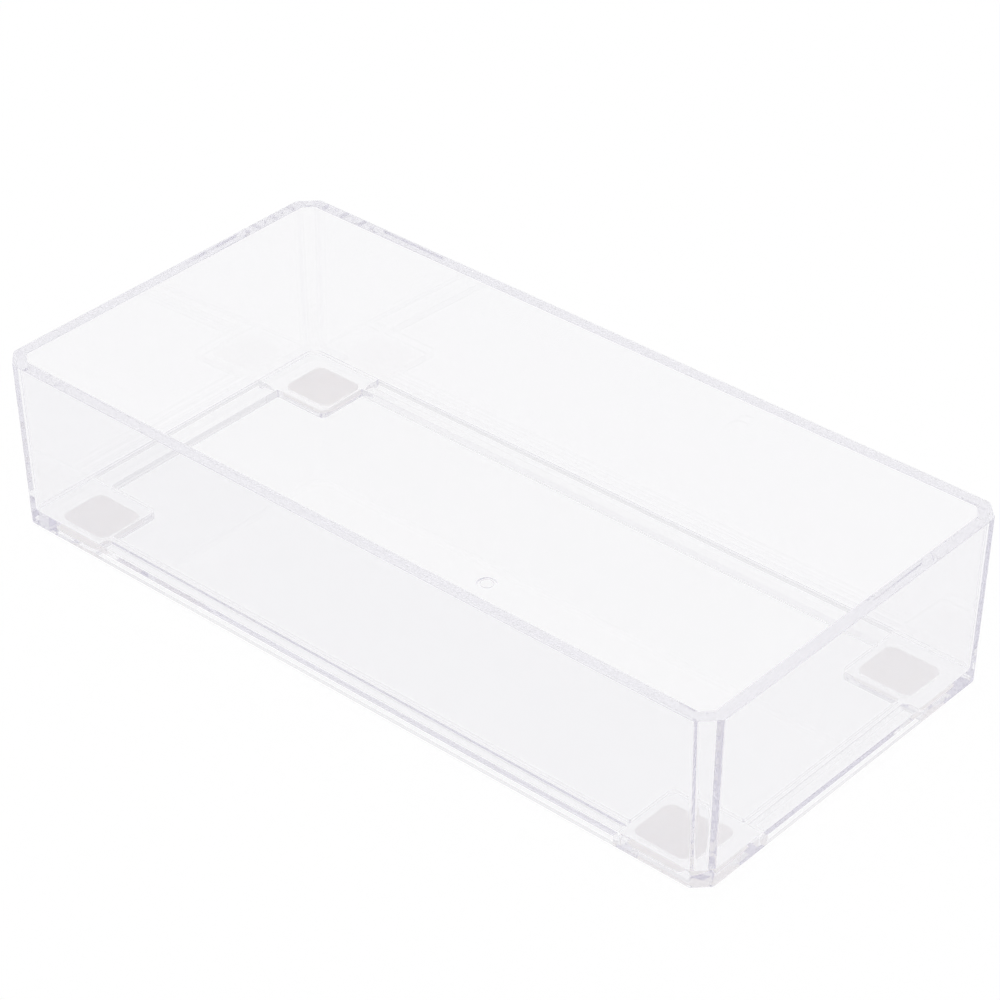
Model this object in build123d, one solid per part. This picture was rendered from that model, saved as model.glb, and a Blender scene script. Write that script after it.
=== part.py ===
from build123d import *
import os

# An open make-up organizer: a tray moulded in one piece of clear polystyrene, on four soft pads.
# Millimetres. X runs along the long side, Y from front to back and Z up. The origin is under the
# middle of the tray, in the plane of the pads' undersides, which is what the tray rests on.

# Outside of the tray
RIM_LENGTH = 234.4       # along X, over the rim
RIM_DEPTH = 114.4        # along Y, over the rim
TRAY_HEIGHT = 50.3       # from the plinth's underside up to the rim
DRAFT_INSET = 1.3        # how far each side leans in from the rim down to the ledge
CORNER_CUT = 4.8         # chamfer of the upright corners, along each side, at the rim
CORNER_ROUNDING = 1.6    # where a chamfer meets a side, outside
RIM_ROUNDING = 0.1       # broken edges of the rim
EDGE_ROUNDING = 0.15     # broken edges of the ledge and of the plinth

# Inside of the tray
WALL = 3.6               # thickness of the walls, and width of the rim
INNER_ROUNDING = 1.4     # where a chamfer meets a side, inside
FLOOR_FILLET = 0.12      # where the walls meet the floor, inside
FLOOR = 1.7              # thickness of the floor inside its border

# Underside: a plinth that sits inside the rim of a like tray below, with a recessed middle
LEDGE = 2.8              # width of the ledge that rests on the rim below
PLINTH_HEIGHT = 0.7      # how far the plinth reaches below the ledge
PLINTH_ROUNDING = 1.2
RECESS_DEPTH = 2.5
BORDER_END = 10.3        # from the foot of the outer wall to the recess, at the ends
BORDER_SIDE = 9.4        # the same along the long sides
CORNER_LENGTH = 27.8     # solid corner squares along X, from the foot of the outer wall too
CORNER_DEPTH = 25.2      # the same along Y
TIP_ROUNDING = 1.8       # free corner of a square
ROOT_ROUNDING = 0.5      # where a square meets the border

# Grooves in the border, which leave a rib beside the recess from one square to the next
SKIRT = 2.75             # foot of the outer wall, outside a groove
RIB = 0.8                # thickness of the rib at its tip
GROOVE_TOP = 4.0         # width of a groove at its top
GROOVE_DEPTH = 2.47
GROOVE_RUN = 0.2         # how far a groove's sloped side is carried on below the plinth

# Mark of the moulding gate, in the middle of the recess
GATE_DISH = 5.7          # diameter of the shallow dish round it
GATE_STUB = 3.6          # diameter of the stub left in the dish
GATE_DEPTH = 0.25
GATE_RISE = 0.15

# Soft pads, each stuck under a corner square
PAD_LENGTH = 16.4        # along X
PAD_DEPTH = 14.4         # along Y
PAD_RADIUS = 2.5
PAD_THICKNESS = 1.1
PAD_ROUNDING = 0.4
FILM_THICKNESS = 0.15
PAD_FROM_END = 19.0      # pad centre from the rim's end, along X
PAD_FROM_SIDE = 15.9     # pad centre from the rim's side, along Y

CORNERS = {
    "front_left": (-1, -1),
    "front_right": (1, -1),
    "back_left": (-1, 1),
    "back_right": (1, 1),
}

# Levels, from the pads' undersides up
PLINTH_Z = PAD_THICKNESS + FILM_THICKNESS
LEDGE_Z = PLINTH_Z + PLINTH_HEIGHT
RECESS_Z = PLINTH_Z + RECESS_DEPTH
FLOOR_Z = RECESS_Z + FLOOR
RIM_Z = PLINTH_Z + TRAY_HEIGHT

EPS = 0.01               # how far a cutter runs past the face that it cuts through


def outline(inset, rounding):
    """The tray's outline at a distance in from the rim: a rectangle with cut corners."""
    x = RIM_LENGTH / 2 - inset
    y = RIM_DEPTH / 2 - inset
    cut = CORNER_CUT - (2 - 2**0.5) * inset
    points = [(-x, cut - y), (cut - x, -y), (x - cut, -y), (x, cut - y)]
    points += [(x, y - cut), (x - cut, y), (cut - x, y), (-x, y - cut)]
    shape = Polygon(*points, align=None)
    return fillet(shape.vertices(), rounding)


def lowest_edges(solid):
    return solid.faces().sort_by(Axis.Z)[0].edges()


def outer_form():
    """The tray's outside from the ledge up to the rim, leaning outwards."""
    foot = Pos(0, 0, LEDGE_Z) * outline(DRAFT_INSET, CORNER_ROUNDING)
    rim = Pos(0, 0, RIM_Z) * outline(0, CORNER_ROUNDING)
    body = loft([foot, rim])
    return fillet(lowest_edges(body), EDGE_ROUNDING)


def hollow():
    """The space inside the walls, with a fillet round the floor."""
    lean = DRAFT_INSET * (RIM_Z - FLOOR_Z) / (RIM_Z - LEDGE_Z)
    floor = Pos(0, 0, FLOOR_Z) * outline(lean + WALL, INNER_ROUNDING)
    mouth = Pos(0, 0, RIM_Z) * outline(WALL, INNER_ROUNDING)
    space = loft([floor, mouth])
    return fillet(lowest_edges(space), FLOOR_FILLET)


def plinth():
    """The raised underside that locates the tray in the rim of one below."""
    shape = outline(DRAFT_INSET + LEDGE, PLINTH_ROUNDING)
    slab = Pos(0, 0, PLINTH_Z) * extrude(shape, PLINTH_HEIGHT + EDGE_ROUNDING)
    return fillet(lowest_edges(slab), EDGE_ROUNDING)


def recess():
    """The hollow middle of the underside: a rectangle less the four corner squares."""
    half_length = RIM_LENGTH / 2 - DRAFT_INSET - BORDER_END
    half_depth = RIM_DEPTH / 2 - DRAFT_INSET - BORDER_SIDE
    shape = Rectangle(2 * half_length, 2 * half_depth)
    square = Rectangle(2 * (CORNER_LENGTH - BORDER_END), 2 * (CORNER_DEPTH - BORDER_SIDE))
    for side_x, side_y in CORNERS.values():
        shape -= Pos(side_x * half_length, side_y * half_depth) * square
    tips = [v for v in shape.vertices() if abs(v.X) < half_length - EPS and abs(v.Y) < half_depth - EPS]
    shape = fillet(tips, TIP_ROUNDING)
    roots = [v for v in shape.vertices() if abs(v.X) > half_length - EPS or abs(v.Y) > half_depth - EPS]
    shape = fillet(roots, ROOT_ROUNDING)
    return Pos(0, 0, PLINTH_Z - EPS) * extrude(shape, RECESS_DEPTH + EPS)


def groove(outer, rib, end):
    """A groove along Y, from -end to end: upright on the outside, sloped on the side of the rib."""
    foot = Pos((outer + rib) / 2, 0, PLINTH_Z - GROOVE_RUN) * Rectangle(outer - rib, 2 * end)
    top = Pos(outer - GROOVE_TOP / 2, 0, PLINTH_Z + GROOVE_DEPTH) * Rectangle(GROOVE_TOP, 2 * end)
    return loft([foot, top])


def grooves():
    """The four grooves, one along each side of the tray."""
    half_length = RIM_LENGTH / 2 - DRAFT_INSET
    half_depth = RIM_DEPTH / 2 - DRAFT_INSET
    ends = groove(half_length - SKIRT, half_length - BORDER_END + RIB, half_depth - CORNER_DEPTH)
    sides = groove(half_depth - SKIRT, half_depth - BORDER_SIDE + RIB, half_length - CORNER_LENGTH)
    half_turn = Rot(0, 0, 180)
    front_back = Rot(0, 0, 90) * sides
    return [ends, half_turn * ends, front_back, half_turn * front_back]


def at_corner(side_x, side_y, z):
    """Where a pad's centre lies, at height z."""
    return Pos(side_x * (RIM_LENGTH / 2 - PAD_FROM_END), side_y * (RIM_DEPTH / 2 - PAD_FROM_SIDE), z)


def make_tray():
    tray = outer_form() + plinth()
    tray -= hollow()
    rim_edges = tray.faces().sort_by(Axis.Z)[-1].edges()
    tray = fillet(rim_edges, RIM_ROUNDING)
    tray -= recess()
    for space in grooves():
        tray -= space
    tray -= Pos(0, 0, RECESS_Z - EPS) * extrude(Circle(GATE_DISH / 2), GATE_DEPTH + EPS)
    stub_height = GATE_DEPTH + GATE_RISE
    tray += Pos(0, 0, RECESS_Z + GATE_DEPTH - stub_height) * extrude(Circle(GATE_STUB / 2), stub_height)
    return tray


def make_pad(side_x, side_y):
    """A soft pad with its lower edge rounded, its underside at z = 0."""
    pad = extrude(RectangleRounded(PAD_LENGTH, PAD_DEPTH, PAD_RADIUS), PAD_THICKNESS)
    pad = fillet(lowest_edges(pad), PAD_ROUNDING)
    return at_corner(side_x, side_y, 0) * pad


def make_film(side_x, side_y):
    """The adhesive film between a pad and the tray."""
    film = extrude(RectangleRounded(PAD_LENGTH, PAD_DEPTH, PAD_RADIUS), FILM_THICKNESS)
    return at_corner(side_x, side_y, PAD_THICKNESS) * film


def write(node, solid):
    export_step(solid, f"parts/{node}.step")
    print(f"{node}: {solid.volume:.1f} mm3, valid {solid.is_valid}")


os.makedirs("parts", exist_ok=True)
write("tray", make_tray())
for corner, (side_x, side_y) in CORNERS.items():
    write(f"pad_{corner}", make_pad(side_x, side_y))
    write(f"film_{corner}", make_film(side_x, side_y))
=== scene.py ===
import math

import bmesh
import bpy
from mathutils import Matrix, Vector


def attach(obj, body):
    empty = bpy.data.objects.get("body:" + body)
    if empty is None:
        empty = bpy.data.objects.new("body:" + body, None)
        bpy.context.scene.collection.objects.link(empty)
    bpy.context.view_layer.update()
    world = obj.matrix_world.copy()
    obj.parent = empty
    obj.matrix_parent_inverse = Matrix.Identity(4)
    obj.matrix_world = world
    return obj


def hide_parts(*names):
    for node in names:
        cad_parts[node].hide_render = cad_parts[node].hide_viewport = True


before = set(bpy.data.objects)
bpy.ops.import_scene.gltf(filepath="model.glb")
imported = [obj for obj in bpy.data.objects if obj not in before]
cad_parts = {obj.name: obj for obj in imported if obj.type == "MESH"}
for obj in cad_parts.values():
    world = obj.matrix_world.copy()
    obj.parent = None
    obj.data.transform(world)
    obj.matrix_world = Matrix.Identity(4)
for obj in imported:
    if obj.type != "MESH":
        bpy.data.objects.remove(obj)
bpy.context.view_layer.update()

# The object is an open tray of clear polystyrene on four soft pads. Everything below is in metres,
# in the frame of the solids: X along the long side, Y from front to back, Z up, z = 0 under the pads.
MM = 0.001

# Outside of the tray
RIM_LENGTH = 234.4 * MM
RIM_DEPTH = 114.4 * MM
TRAY_HEIGHT = 50.3 * MM
DRAFT_INSET = 1.3 * MM
CORNER_CUT = 4.8 * MM       # chamfer of the upright corners, along each side, at the rim
CORNER_ROUNDING = 1.6 * MM  # where a chamfer meets a side, outside
RIM_ROUNDING = 0.1 * MM
EDGE_ROUNDING = 0.15 * MM

# Inside of the tray
WALL = 3.6 * MM
INNER_ROUNDING = 1.4 * MM
FLOOR_FILLET = 0.12 * MM
FLOOR = 1.7 * MM

# Underside
LEDGE = 2.8 * MM
PLINTH_HEIGHT = 0.7 * MM
PLINTH_ROUNDING = 1.2 * MM
RECESS_DEPTH = 2.5 * MM
BORDER_END = 10.3 * MM
BORDER_SIDE = 9.4 * MM
CORNER_LENGTH = 27.8 * MM
CORNER_DEPTH = 25.2 * MM
TIP_ROUNDING = 1.8 * MM     # free corner of a square
ROOT_ROUNDING = 0.5 * MM    # where a square meets the border
SKIRT = 2.75 * MM           # foot of the outer wall, outside the grooves
RIB = 0.8 * MM              # rib between a groove and the recess, at its tip
GROOVE_TOP = 4.0 * MM       # width of a groove at its top
GROOVE_DEPTH = 2.47 * MM
GROOVE_RUN = 0.2 * MM       # how far a groove's sloped side is carried on below the plinth
MOUTH_CREASE = 0.1 * MM     # broken edge round the recess's mouth
TOP_CREASE = 0.02 * MM      # the same at its top

# Gate mark
GATE_DISH = 5.7 * MM
GATE_STUB = 3.6 * MM
GATE_DEPTH = 0.25 * MM
GATE_RISE = 0.15 * MM
LIP_WIDTH = 0.25 * MM       # broken edge of the dish, taken off its diameter
LIP_DEPTH = 0.06 * MM
DISH_SLOPE = 0.8 * MM       # how much smaller the dish is at its bottom, in diameter
STUB_FOOT = 0.1 * MM        # how much wider the stub's foot is than the stub
STUB_CREASE = 0.08 * MM     # height of the broken edges of the stub
STUB_TIP = 0.2 * MM         # how much smaller the stub's tip is, in diameter

# Soft pads
PAD_LENGTH = 16.4 * MM
PAD_DEPTH = 14.4 * MM
PAD_RADIUS = 2.5 * MM
PAD_THICKNESS = 1.1 * MM
PAD_ROUNDING = 0.4 * MM     # lower edge
PAD_CROWN = 0.12 * MM       # upper edge
FILM_THICKNESS = 0.15 * MM
FILM_INSET = 0.2 * MM       # how far the film stays inside the pad's outline
PAD_FROM_END = 19.0 * MM
PAD_FROM_SIDE = 15.9 * MM
SEAM = 0.02 * MM            # air in the joints between pad, film and tray
CORNERS = {
    "front_left": (-1, -1),
    "front_right": (1, -1),
    "back_left": (-1, 1),
    "back_right": (1, 1),
}

# Levels
PLINTH_Z = FILM_THICKNESS + PAD_THICKNESS
LEDGE_Z = PLINTH_Z + PLINTH_HEIGHT
RECESS_Z = PLINTH_Z + RECESS_DEPTH
FLOOR_Z = RECESS_Z + FLOOR
RIM_Z = PLINTH_Z + TRAY_HEIGHT

# Segments of a rounded corner or edge
CHAMFER_STEPS = 10
RECESS_STEPS = 12
PAD_STEPS = 10
GATE_STEPS = 72             # of a full circle
EDGE_STEPS = 4
PAD_EDGE_STEPS = 8
FILLET_STEPS = 10
SHARP = math.radians(35)    # a crease sharper than this stays sharp


def rounded_outline(points, radii, steps):
    """A closed polygon, given anticlockwise, with each corner rounded to its radius."""
    outline = []
    count = len(points)
    for i, corner in enumerate(points):
        here = Vector(corner)
        before = (Vector(points[i - 1]) - here).normalized()
        after = (Vector(points[(i + 1) % count]) - here).normalized()
        half = before.angle(after) / 2
        reach = radii[i] / math.tan(half)
        middle = here + (before + after).normalized() * (radii[i] / math.sin(half))
        start = here + before * reach - middle
        end = here + after * reach - middle
        turn = math.atan2(start.x * end.y - start.y * end.x, start.dot(end))
        for k in range(steps + 1):
            angle = turn * k / steps
            spoke = Vector((start.x * math.cos(angle) - start.y * math.sin(angle),
                            start.x * math.sin(angle) + start.y * math.cos(angle)))
            outline.append(middle + spoke)
    return outline


def rectangle(length, depth, radius, steps):
    """A rounded rectangle about the origin, anticlockwise."""
    x, y = length / 2, depth / 2
    return rounded_outline([(-x, -y), (x, -y), (x, y), (-x, y)], [radius] * 4, steps)


def chamfered(inset, radius):
    """The tray's outline at a distance in from the rim: a rectangle with cut corners, anticlockwise."""
    x = RIM_LENGTH / 2 - inset
    y = RIM_DEPTH / 2 - inset
    cut = CORNER_CUT - (2 - math.sqrt(2)) * inset
    points = [(-x, -y + cut), (-x + cut, -y), (x - cut, -y), (x, -y + cut)]
    points += [(x, y - cut), (x - cut, y), (-x + cut, y), (-x, y - cut)]
    return rounded_outline(points, [radius] * len(points), CHAMFER_STEPS)


def recess_outline(grow):
    """The recess's outline, grown outwards by an amount: a rectangle less the four corner squares."""
    x = RIM_LENGTH / 2 - DRAFT_INSET - BORDER_END + grow
    y = RIM_DEPTH / 2 - DRAFT_INSET - BORDER_SIDE + grow
    tip_x = RIM_LENGTH / 2 - DRAFT_INSET - CORNER_LENGTH + grow
    tip_y = RIM_DEPTH / 2 - DRAFT_INSET - CORNER_DEPTH + grow
    corner = [((x, -tip_y), 1), ((x, tip_y), 1), ((tip_x, tip_y), -1), ((tip_x, y), 1)]
    corner += [((-tip_x, y), 1), ((-tip_x, tip_y), -1), ((-x, tip_y), 1), ((-x, -tip_y), 1)]
    corner += [((-tip_x, -tip_y), -1), ((-tip_x, -y), 1), ((tip_x, -y), 1), ((tip_x, -tip_y), -1)]
    radii = [(ROOT_ROUNDING if side > 0 else TIP_ROUNDING) + side * grow for _, side in corner]
    return rounded_outline([point for point, _ in corner], radii, RECESS_STEPS)


def add_loop(bm, outline, z, shift=(0, 0)):
    return [bm.verts.new((p[0] + shift[0], p[1] + shift[1], z)) for p in outline]


def bridge(bm, low, high):
    """Quads between two loops of as many points."""
    count = len(low)
    for i in range(count):
        j = (i + 1) % count
        bm.faces.new((low[i], low[j], high[j], high[i]))


def loop_edges(bm, loop):
    edges = []
    for i, vert in enumerate(loop):
        after = loop[(i + 1) % len(loop)]
        edges.append(bm.edges.get((vert, after)) or bm.edges.new((vert, after)))
    return edges


def fill_between(bm, loops, normal):
    """A flat face inside the first loop and outside the others."""
    edges = [edge for loop in loops for edge in loop_edges(bm, loop)]
    bmesh.ops.triangle_fill(bm, use_beauty=True, edges=edges, normal=normal)


def outer_inset(z):
    """How far the outer wall stands in from the rim at height z."""
    return DRAFT_INSET * (RIM_Z - z) / (RIM_Z - LEDGE_Z)


def quarter(steps):
    """(sine, 1 - cosine) from 0 to a quarter turn."""
    for k in range(steps + 1):
        angle = math.pi / 2 * k / steps
        yield math.sin(angle), 1 - math.cos(angle)


def wall_profile():
    """The tray's skin from the plinth over the rim to the floor: inset from the rim, height, radius."""
    rows = []
    plinth = DRAFT_INSET + LEDGE
    for out, up in quarter(EDGE_STEPS):
        shift = EDGE_ROUNDING * (1 - out)
        rows.append((plinth + shift, PLINTH_Z + EDGE_ROUNDING * up, PLINTH_ROUNDING - shift))
    rows.append((plinth, LEDGE_Z, PLINTH_ROUNDING))
    for out, up in quarter(EDGE_STEPS):
        z = LEDGE_Z + EDGE_ROUNDING * up
        shift = EDGE_ROUNDING * (1 - out)
        rows.append((outer_inset(z) + shift, z, CORNER_ROUNDING - shift))
    for out, up in quarter(EDGE_STEPS):
        z = RIM_Z - RIM_ROUNDING * (1 - out)
        shift = RIM_ROUNDING * up
        rows.append((outer_inset(z) + shift, z, CORNER_ROUNDING - shift))
    for out, up in quarter(EDGE_STEPS):
        z = RIM_Z - RIM_ROUNDING * up
        shift = RIM_ROUNDING * (1 - out)
        rows.append((outer_inset(z) + WALL - shift, z, INNER_ROUNDING + shift))
    for out, up in quarter(FILLET_STEPS):
        z = FLOOR_Z + FLOOR_FILLET * (1 - out)
        shift = FLOOR_FILLET * up
        rows.append((outer_inset(z) + WALL + shift, z, INNER_ROUNDING - shift))
    return rows


def sunk(bm, outline_at, mouth_z, top_z, shift=(0, 0)):
    """The wall of a hollow that goes up into the tray. Returns its mouth loop and its top loop."""
    loops = []
    for out, up in quarter(EDGE_STEPS):
        loops.append(add_loop(bm, outline_at(MOUTH_CREASE * (1 - out)), mouth_z + MOUTH_CREASE * up, shift))
    for out, up in quarter(EDGE_STEPS):
        loops.append(add_loop(bm, outline_at(-TOP_CREASE * up), top_z - TOP_CREASE * (1 - out), shift))
    for low, high in zip(loops, loops[1:]):
        bridge(bm, high, low)
    return loops[0], loops[-1]


def gate_mark(bm):
    """A shallow dish with the stub of the gate in it. Returns the dish's edge."""
    def circle(diameter, z):
        angles = [math.tau * k / GATE_STEPS for k in range(GATE_STEPS)]
        outline = [(diameter / 2 * math.cos(angle), diameter / 2 * math.sin(angle)) for angle in angles]
        return add_loop(bm, outline, z)

    dish_z = RECESS_Z + GATE_DEPTH
    stub_z = RECESS_Z - GATE_RISE
    loops = [
        circle(GATE_DISH, RECESS_Z),
        circle(GATE_DISH - LIP_WIDTH, RECESS_Z + LIP_DEPTH),
        circle(GATE_DISH - DISH_SLOPE, dish_z),
        circle(GATE_STUB + STUB_FOOT, dish_z),
        circle(GATE_STUB, dish_z - STUB_CREASE),
        circle(GATE_STUB, stub_z + STUB_CREASE),
        circle(GATE_STUB - STUB_TIP, stub_z),
    ]
    for low, high in zip(loops, loops[1:]):
        bridge(bm, high, low)
    fill_between(bm, [loops[-1]], (0, 0, -1))
    return loops[0]


def new_object(bm, name):
    mesh = bpy.data.meshes.new(name)
    bm.to_mesh(mesh)
    piece = bpy.data.objects.new(name, mesh)
    bpy.context.scene.collection.objects.link(piece)
    return piece


def finish_mesh(bm, name):
    """Makes an object with smooth, area-weighted normals, so that flat faces stay flat in refraction."""
    bmesh.ops.recalc_face_normals(bm, faces=bm.faces)
    for face in bm.faces:
        face.smooth = True
    for edge in bm.edges:
        edge.smooth = len(edge.link_faces) == 2 and edge.calc_face_angle(0) < SHARP
    piece = new_object(bm, name)
    bm.free()
    weighted = piece.modifiers.new("even_flats", "WEIGHTED_NORMAL")
    weighted.keep_sharp = True
    weighted.weight = 100
    return piece


def make_tray():
    bm = bmesh.new()
    skin = []
    for inset, z, radius in wall_profile():
        skin.append(add_loop(bm, chamfered(inset, radius), z))
    for low, high in zip(skin, skin[1:]):
        bridge(bm, low, high)
    fill_between(bm, [skin[-1]], (0, 0, 1))

    mouth, ceiling = sunk(bm, recess_outline, PLINTH_Z, RECESS_Z)
    spots = [add_loop(bm, pad_outline(0), PLINTH_Z, pad_centre(*side)) for side in CORNERS.values()]
    fill_between(bm, [skin[0], mouth] + spots, (0, 0, -1))
    above = set(bm.faces)
    for spot in spots:
        fill_between(bm, [spot], (0, 0, -1))
    for face in set(bm.faces) - above:
        face.material_index = 1
    fill_between(bm, [ceiling, gate_mark(bm)], (0, 0, -1))
    cut_grooves(bm)
    return finish_mesh(bm, "tray_moulding")


def add_trapezoid(bm, low, high):
    """A block between two rectangles, each given as x0, y0, x1, y1 and z."""
    rings = []
    for x0, y0, x1, y1, z in (low, high):
        rings.append(add_loop(bm, [(x0, y0), (x1, y0), (x1, y1), (x0, y1)], z))
    bridge(bm, rings[0], rings[1])
    bm.faces.new(rings[0])
    bm.faces.new(rings[1])


def groove_blocks():
    """The four grooves in the border, each from one corner square to the next, as solid blocks."""
    bm = bmesh.new()
    low_z = PLINTH_Z - GROOVE_RUN
    high_z = PLINTH_Z + GROOVE_DEPTH
    x_out = RIM_LENGTH / 2 - DRAFT_INSET - SKIRT
    x_rib = RIM_LENGTH / 2 - DRAFT_INSET - BORDER_END + RIB
    y_out = RIM_DEPTH / 2 - DRAFT_INSET - SKIRT
    y_rib = RIM_DEPTH / 2 - DRAFT_INSET - BORDER_SIDE + RIB
    x_end = RIM_LENGTH / 2 - DRAFT_INSET - CORNER_LENGTH
    y_end = RIM_DEPTH / 2 - DRAFT_INSET - CORNER_DEPTH
    for side in (-1, 1):
        low = sorted((side * x_rib, side * x_out))
        high = sorted((side * (x_out - GROOVE_TOP), side * x_out))
        add_trapezoid(bm, (low[0], -y_end, low[1], y_end, low_z), (high[0], -y_end, high[1], y_end, high_z))
        low = sorted((side * y_rib, side * y_out))
        high = sorted((side * (y_out - GROOVE_TOP), side * y_out))
        add_trapezoid(bm, (-x_end, low[0], x_end, low[1], low_z), (-x_end, high[0], x_end, high[1], high_z))
    return bm


def cut_grooves(bm):
    """Takes the grooves out of the tray's mesh, by way of two objects that don't stay."""
    blocks = groove_blocks()
    for part in (bm, blocks):
        bmesh.ops.recalc_face_normals(part, faces=part.faces)
    whole = new_object(bm, "uncut")
    cutter = new_object(blocks, "grooves")
    blocks.free()
    cut = whole.modifiers.new("cut", "BOOLEAN")
    cut.operation = "DIFFERENCE"
    cut.solver = "EXACT"
    cut.object = cutter
    result = bpy.data.meshes.new_from_object(whole.evaluated_get(bpy.context.evaluated_depsgraph_get()))
    bm.clear()
    bm.from_mesh(result)
    meshes = (whole.data, cutter.data, result)
    for piece in (whole, cutter):
        bpy.data.objects.remove(piece)
    for mesh in meshes:
        bpy.data.meshes.remove(mesh)


def pad_centre(side_x, side_y):
    return side_x * (RIM_LENGTH / 2 - PAD_FROM_END), side_y * (RIM_DEPTH / 2 - PAD_FROM_SIDE)


def pad_outline(grow):
    return rectangle(PAD_LENGTH + 2 * grow, PAD_DEPTH + 2 * grow, PAD_RADIUS + grow, PAD_STEPS)


def make_pad(corner):
    """A soft pad with a rounded lower edge and a slightly rounded upper one."""
    place = pad_centre(*CORNERS[corner])
    top = PAD_THICKNESS - SEAM
    bm = bmesh.new()
    loops = []
    for out, up in quarter(PAD_EDGE_STEPS):
        loops.append(add_loop(bm, pad_outline(PAD_ROUNDING * (out - 1)), PAD_ROUNDING * up, place))
    for out, up in quarter(EDGE_STEPS):
        loops.append(add_loop(bm, pad_outline(-PAD_CROWN * up), top - PAD_CROWN * (1 - out), place))
    for low, high in zip(loops, loops[1:]):
        bridge(bm, low, high)
    fill_between(bm, [loops[0]], (0, 0, -1))
    fill_between(bm, [loops[-1]], (0, 0, 1))
    return finish_mesh(bm, f"silicone_{corner}")


def make_film(corner):
    """The adhesive film between a pad and the tray, a little smaller than the pad."""
    place = pad_centre(*CORNERS[corner])
    bm = bmesh.new()
    low = add_loop(bm, pad_outline(-FILM_INSET), PAD_THICKNESS, place)
    high = add_loop(bm, pad_outline(-FILM_INSET), PLINTH_Z - SEAM, place)
    bridge(bm, low, high)
    fill_between(bm, [low], (0, 0, -1))
    fill_between(bm, [high], (0, 0, 1))
    return finish_mesh(bm, f"adhesive_{corner}")


def new_material(name):
    material = bpy.data.materials.new(name)
    material.use_nodes = True
    material.node_tree.nodes.clear()
    return material, material.node_tree.nodes, material.node_tree.links


def noise(nodes, links, vector, scale, detail):
    """Noise with about `scale` features to one unit of the coordinates in `vector`."""
    texture = nodes.new("ShaderNodeTexNoise")
    texture.inputs["Scale"].default_value = scale
    texture.inputs["Detail"].default_value = detail
    links.new(vector, texture.inputs["Vector"])
    return texture.outputs["Fac"]


def remap(nodes, links, value, reads, gives):
    """Turns the values between the two of `reads` into those between the two of `gives`."""
    span = nodes.new("ShaderNodeMapRange")
    span.inputs["From Min"].default_value = reads[0]
    span.inputs["From Max"].default_value = reads[1]
    span.inputs["To Min"].default_value = gives[0]
    span.inputs["To Max"].default_value = gives[1]
    links.new(value, span.inputs["Value"])
    return span.outputs["Result"]


def stretched(nodes, links, vector, factors, turn):
    """Coordinates scaled unevenly and turned, for marks that run one way."""
    mapping = nodes.new("ShaderNodeMapping")
    mapping.inputs["Scale"].default_value = factors
    mapping.inputs["Rotation"].default_value = turn
    links.new(vector, mapping.inputs["Vector"])
    return mapping.outputs["Vector"]


def add_bump(nodes, links, shader, height, strength, distance):
    bump = nodes.new("ShaderNodeBump")
    bump.inputs["Strength"].default_value = strength
    bump.inputs["Distance"].default_value = distance
    links.new(height, bump.inputs["Height"])
    links.new(bump.outputs["Normal"], shader.inputs["Normal"])


def clear_polystyrene():
    """Clear plastic with a faint lavender cast and haze in its depth, fine wipe marks and a slight ripple."""
    material, nodes, links = new_material("clear_polystyrene")
    out = nodes.new("ShaderNodeOutputMaterial")
    plastic = nodes.new("ShaderNodeBsdfPrincipled")
    plastic.inputs["Base Color"].default_value = (0.955, 0.953, 0.962, 1)
    plastic.inputs["Transmission Weight"].default_value = 1
    plastic.inputs["IOR"].default_value = 1.59
    place = nodes.new("ShaderNodeTexCoord").outputs["Object"]
    wiped = stretched(nodes, links, place, factors=(60, 900, 900), turn=(0, 0, math.radians(18)))
    marks = noise(nodes, links, wiped, scale=1.0, detail=2.0)
    links.new(remap(nodes, links, marks, reads=(0.68, 0.82), gives=(0.0, 0.03)), plastic.inputs["Roughness"])
    flow = noise(nodes, links, place, scale=14.0, detail=1.0)
    add_bump(nodes, links, plastic, flow, strength=0.01, distance=0.5 * MM)
    depth = nodes.new("ShaderNodeVolumeAbsorption")
    depth.inputs["Color"].default_value = (0.07, 0.0, 0.34, 1)
    depth.inputs["Density"].default_value = 1.3
    haze = nodes.new("ShaderNodeVolumeScatter")
    haze.inputs["Color"].default_value = (1, 1, 1, 1)
    haze.inputs["Density"].default_value = 4.0
    inside = nodes.new("ShaderNodeAddShader")
    links.new(depth.outputs["Volume"], inside.inputs[0])
    links.new(haze.outputs["Volume"], inside.inputs[1])
    links.new(plastic.outputs["BSDF"], out.inputs["Surface"])
    links.new(inside.outputs[0], out.inputs["Volume"])
    return material


def soft_silicone():
    """Milky silicone with a fine matt grain."""
    material, nodes, links = new_material("soft_silicone")
    out = nodes.new("ShaderNodeOutputMaterial")
    skin = nodes.new("ShaderNodeBsdfPrincipled")
    skin.inputs["Base Color"].default_value = (1.0, 0.985, 0.985, 1)
    place = nodes.new("ShaderNodeTexCoord").outputs["Object"]
    grain = noise(nodes, links, place, scale=2600.0, detail=3.0)
    links.new(remap(nodes, links, grain, reads=(0.3, 0.7), gives=(0.24, 0.38)), skin.inputs["Roughness"])
    add_bump(nodes, links, skin, grain, strength=0.15, distance=0.05 * MM)
    skin.inputs["IOR"].default_value = 1.41
    skin.inputs["Transmission Weight"].default_value = 0.95
    links.new(skin.outputs["BSDF"], out.inputs["Surface"])
    return material


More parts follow.
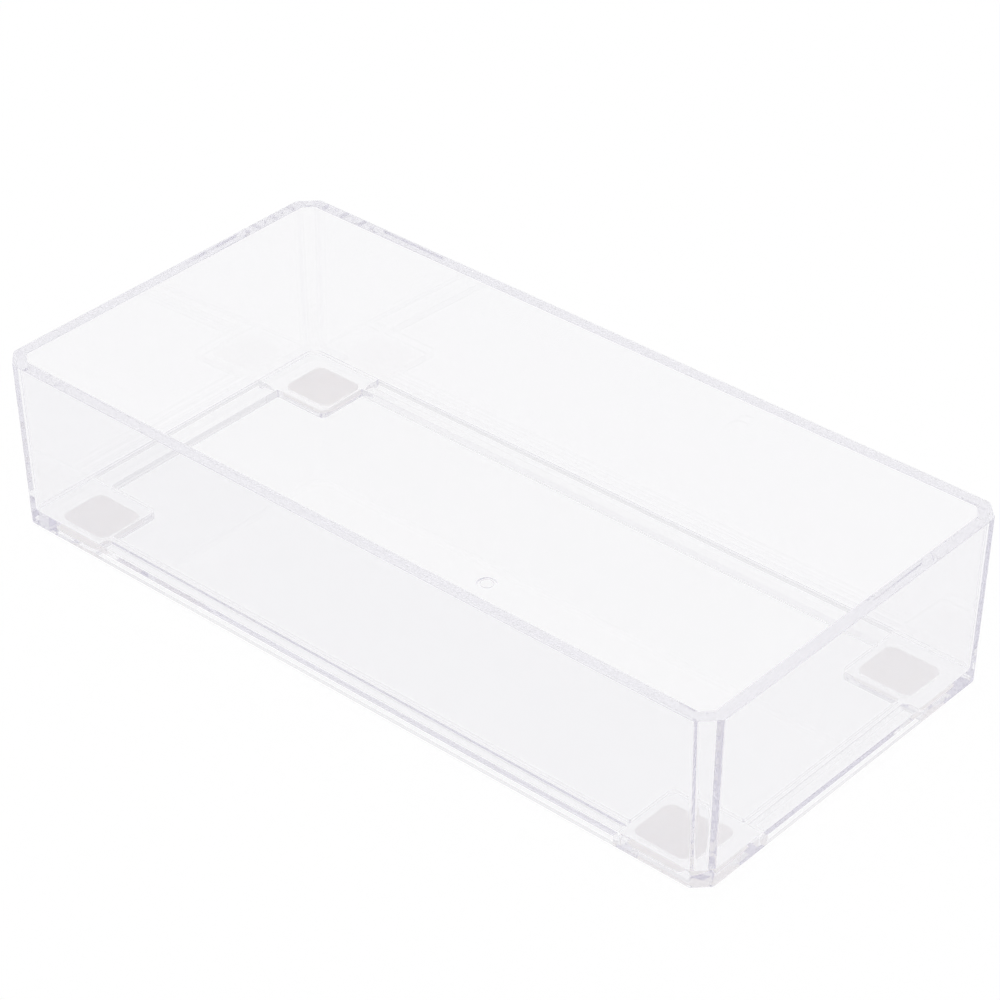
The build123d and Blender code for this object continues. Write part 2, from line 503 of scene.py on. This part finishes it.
def bonded_pad():
    """The patch of the tray's underside where the adhesive wets it: the milky pad seen through the tray."""
    material, nodes, links = new_material("bonded_pad")
    out = nodes.new("ShaderNodeOutputMaterial")
    milk = nodes.new("ShaderNodeBsdfDiffuse")
    place = nodes.new("ShaderNodeTexCoord").outputs["Object"]
    mottle = noise(nodes, links, place, scale=420.0, detail=4.0)
    shades = nodes.new("ShaderNodeValToRGB")
    links.new(mottle, shades.inputs["Fac"])
    thin, thick = shades.color_ramp.elements
    thin.position, thin.color = 0.3, (1.0, 0.98, 0.955, 1)
    thick.position, thick.color = 0.7, (1.0, 0.99, 0.97, 1)
    links.new(shades.outputs["Color"], milk.inputs["Color"])
    links.new(milk.outputs["BSDF"], out.inputs["Surface"])
    return material


def adhesive_film():
    """Clear adhesive film, very slightly hazy."""
    material, nodes, links = new_material("adhesive_film")
    out = nodes.new("ShaderNodeOutputMaterial")
    skin = nodes.new("ShaderNodeBsdfPrincipled")
    skin.inputs["Base Color"].default_value = (1, 1, 1, 1)
    place = nodes.new("ShaderNodeTexCoord").outputs["Object"]
    ripple = noise(nodes, links, place, scale=700.0, detail=2.0)
    links.new(remap(nodes, links, ripple, reads=(0.3, 0.7), gives=(0.1, 0.22)), skin.inputs["Roughness"])
    skin.inputs["IOR"].default_value = 1.45
    skin.inputs["Transmission Weight"].default_value = 0.95
    links.new(skin.outputs["BSDF"], out.inputs["Surface"])
    return material


FLOOR_REACH = 6.0           # metres from the object to each edge of the studio floor


def studio_floor():
    """A white floor. The object's shadow stays on it, faint, as on a well-lit sweep."""
    mesh = bpy.data.meshes.new("floor")
    corners = [(-FLOOR_REACH, -FLOOR_REACH, 0), (FLOOR_REACH, -FLOOR_REACH, 0)]
    corners += [(FLOOR_REACH, FLOOR_REACH, 0), (-FLOOR_REACH, FLOOR_REACH, 0)]
    mesh.from_pydata(corners, [], [(0, 1, 2, 3)])
    floor = bpy.data.objects.new("floor", mesh)
    bpy.context.scene.collection.objects.link(floor)
    material, nodes, links = new_material("white_floor")
    out = nodes.new("ShaderNodeOutputMaterial")
    path = nodes.new("ShaderNodeLightPath")
    plain = nodes.new("ShaderNodeBsdfDiffuse")
    plain.inputs["Color"].default_value = (0.9, 0.9, 0.9, 1)
    faint = nodes.new("ShaderNodeBsdfDiffuse")
    faint.inputs["Color"].default_value = (0.1, 0.1, 0.1, 1)
    white = nodes.new("ShaderNodeEmission")
    white.inputs["Strength"].default_value = 0.905
    shown = nodes.new("ShaderNodeAddShader")
    links.new(faint.outputs[0], shown.inputs[0])
    links.new(white.outputs[0], shown.inputs[1])
    seen = nodes.new("ShaderNodeMath")
    seen.operation = "ADD"
    links.new(path.outputs["Is Camera Ray"], seen.inputs[0])
    links.new(path.outputs["Is Glossy Ray"], seen.inputs[1])
    either = nodes.new("ShaderNodeMath")
    either.operation = "ADD"
    either.use_clamp = True
    links.new(seen.outputs[0], either.inputs[0])
    links.new(path.outputs["Is Transmission Ray"], either.inputs[1])
    mix = nodes.new("ShaderNodeMixShader")
    links.new(either.outputs[0], mix.inputs["Fac"])
    links.new(plain.outputs[0], mix.inputs[1])
    links.new(shown.outputs[0], mix.inputs[2])
    links.new(mix.outputs[0], out.inputs["Surface"])
    mesh.materials.append(material)


def studio_world():
    """A soft, pale studio, whitest straight overhead. The camera sees it as plain white."""
    world = bpy.data.worlds.new("studio")
    bpy.context.scene.world = world
    world.use_nodes = True
    nodes, links = world.node_tree.nodes, world.node_tree.links
    nodes.clear()
    out = nodes.new("ShaderNodeOutputWorld")
    place = nodes.new("ShaderNodeTexCoord")
    split = nodes.new("ShaderNodeSeparateXYZ")
    links.new(place.outputs["Generated"], split.inputs[0])
    ramp = nodes.new("ShaderNodeValToRGB")
    links.new(split.outputs["Z"], ramp.inputs[0])
    low, high = ramp.color_ramp.elements
    low.position, low.color = 0.72, (0.93, 0.93, 0.93, 1)
    high.position, high.color = 0.95, (1.0, 1.0, 1.0, 1)
    sky = nodes.new("ShaderNodeBackground")
    links.new(ramp.outputs[0], sky.inputs["Color"])
    white = nodes.new("ShaderNodeBackground")
    white.inputs["Color"].default_value = (1, 1, 1, 1)
    path = nodes.new("ShaderNodeLightPath")
    mix = nodes.new("ShaderNodeMixShader")
    links.new(path.outputs["Is Camera Ray"], mix.inputs["Fac"])
    links.new(sky.outputs[0], mix.inputs[1])
    links.new(white.outputs[0], mix.inputs[2])
    links.new(mix.outputs[0], out.inputs["Surface"])


# Camera: where the photograph was taken from, for the tray at this size
AZIMUTH, ELEVATION, ROLL = 41.56, 34.40, -0.16     # degrees
SENSOR_MM = 36
LENS_MM = 123.5
PHOTO_UNIT = 235 / 300 * MM                        # the unit that the fit was made in
AIM = Vector((-4.29, 30.38, 1128.98)) * PHOTO_UNIT  # foot's centre: right of, below and before the camera


def make_camera():
    az, el, roll = (math.radians(a) for a in (AZIMUTH, ELEVATION, ROLL))
    back = Vector((math.sin(az) * math.cos(el), -math.cos(az) * math.cos(el), math.sin(el)))
    level = Vector((math.cos(az), math.sin(az), 0))
    upright = back.cross(level)
    right = level * math.cos(roll) + upright * math.sin(roll)
    up = upright * math.cos(roll) - level * math.sin(roll)
    place = -right * AIM.x + up * AIM.y + back * AIM.z
    camera = bpy.data.cameras.new("camera")
    camera.sensor_width = SENSOR_MM
    camera.lens = LENS_MM
    camera.clip_start = 0.01
    camera.clip_end = 20
    holder = bpy.data.objects.new("camera", camera)
    bpy.context.scene.collection.objects.link(holder)
    stand = Matrix((right, up, back)).transposed().to_4x4()
    stand.translation = place + Vector((0, 0, LEDGE_Z))
    holder.matrix_world = stand
    bpy.context.scene.camera = holder


plastic = clear_polystyrene()
silicone = soft_silicone()
adhesive = adhesive_film()

tray = make_tray()
tray.data.materials.append(plastic)
tray.data.materials.append(bonded_pad())
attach(tray, "root")
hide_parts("tray")

for corner in CORNERS:
    pad = make_pad(corner)
    pad.data.materials.append(silicone)
    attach(pad, "root")
    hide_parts(f"pad_{corner}")
    film = make_film(corner)
    film.data.materials.append(adhesive)
    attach(film, "root")
    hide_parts(f"film_{corner}")

studio_floor()
studio_world()
make_camera()
scene = bpy.context.scene
scene.view_settings.view_transform = "Standard"
scene.cycles.blur_glossy = 0            # otherwise the plastic turns dark after light has met the haze
scene.cycles.volume_bounces = 12
scene.cycles.diffuse_bounces = 16
DEEP = 256                              # light runs along inside the walls over many reflections
scene.cycles.max_bounces = DEEP
scene.cycles.transmission_bounces = DEEP
scene.cycles.glossy_bounces = DEEP
